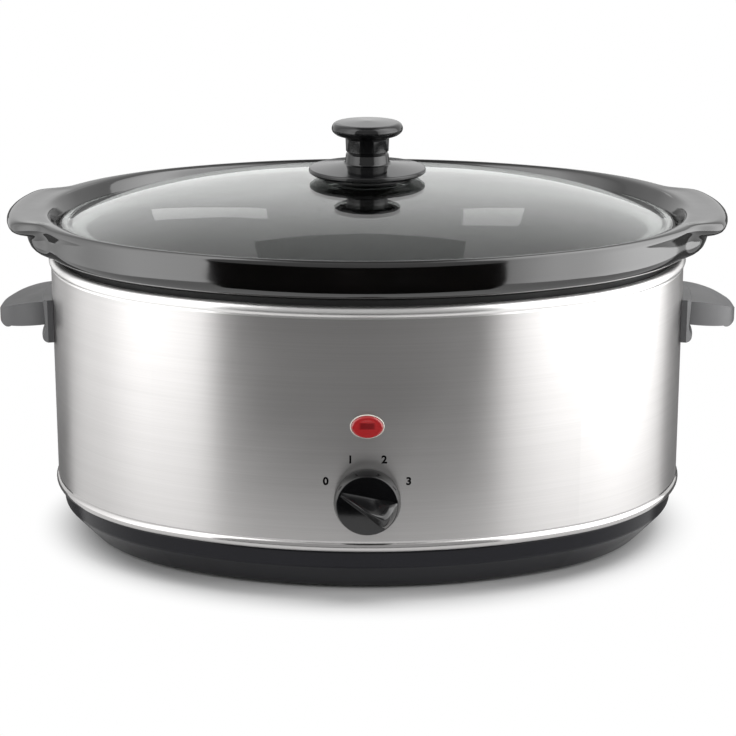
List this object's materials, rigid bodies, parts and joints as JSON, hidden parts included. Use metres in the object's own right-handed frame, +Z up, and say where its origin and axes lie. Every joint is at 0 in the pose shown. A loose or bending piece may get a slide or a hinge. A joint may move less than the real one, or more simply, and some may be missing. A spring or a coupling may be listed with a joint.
{
  "type": "oval electric slow cooker",
  "caption": "Oval electric slow cooker: brushed steel body on a dark base, black stoneware crock, domed glass lid with a black knob, front dial and red lamp",
  "frame": {"origin": "on the table under the centre of the body, in the plane the feet stand on", "axes": "+X along the length to the right seen from the front, +Y to the back, +Z up; the dial faces -Y"},
  "size_m": [0.42, 0.2979, 0.2343],
  "materials": {
    "steel_brushed": "brushed round the body",
    "steel_plain": "plain sheet",
    "shield_aluminium": "plain sheet",
    "heater_metal": "foil-clad band",
    "plastic_charcoal": "satin",
    "plastic_black": "satin",
    "plastic_gloss_black": "polished",
    "plastic_inner": "moulded",
    "plastic_pale": "moulded",
    "lead_sheath": "sleeved leads",
    "fibre_wrap": "mineral fibre",
    "rubber_black": "matt",
    "lens_red": "translucent",
    "lamp_glass": "clear",
    "stoneware_black": null,
    "glass_clear": "clear tempered"
  },
  "bodies": {
    "housing": {"sleeve": "steel_brushed", "liner": "steel_plain", "heat_shield": "shield_aluminium", "base_pan": "plastic_charcoal", "feet": "rubber_black", "tie_stud": "steel_plain", "tie_nut": "steel_plain", "heater_band": "heater_metal", "insulation": "fibre_wrap", "rim_seat": "rubber_black", "handle_left": "plastic_black", "handle_right": "plastic_black", "handle_screws": "steel_plain", "switch_body": "plastic_inner", "switch_nut": "steel_plain", "lamp_lens": "lens_red", "lamp_holder": "lamp_glass", "thermal_fuse": "plastic_pale", "terminal_block": "plastic_pale", "wiring": "lead_sheath", "cord_grommet": "rubber_black"},
    "pot": {"crock": "stoneware_black"},
    "lid": {"glass_lid": "glass_clear", "lid_seals": "rubber_black", "knob_base": "plastic_gloss_black", "knob_cap": "plastic_gloss_black", "knob_nut": "plastic_gloss_black", "knob_screw": "steel_plain"},
    "dial": {"dial_knob": "plastic_gloss_black", "dial_shaft": "steel_plain"}
  },
  "joints": [
    {"name": "crock_lift", "type": "slide", "parent": "housing", "child": "pot", "axis": [0, 0, 1], "range_m": [0, 0.15]},
    {"name": "lid_lift", "type": "slide", "parent": "pot", "child": "lid", "axis": [0, 0, 1], "range_m": [0, 0.12]},
    {"name": "dial_turn", "type": "hinge", "parent": "housing", "child": "dial", "pos_m": [0, -0.137, 0.057], "axis": [0, 1, 0], "range_deg": [0, 130]}
  ]
}
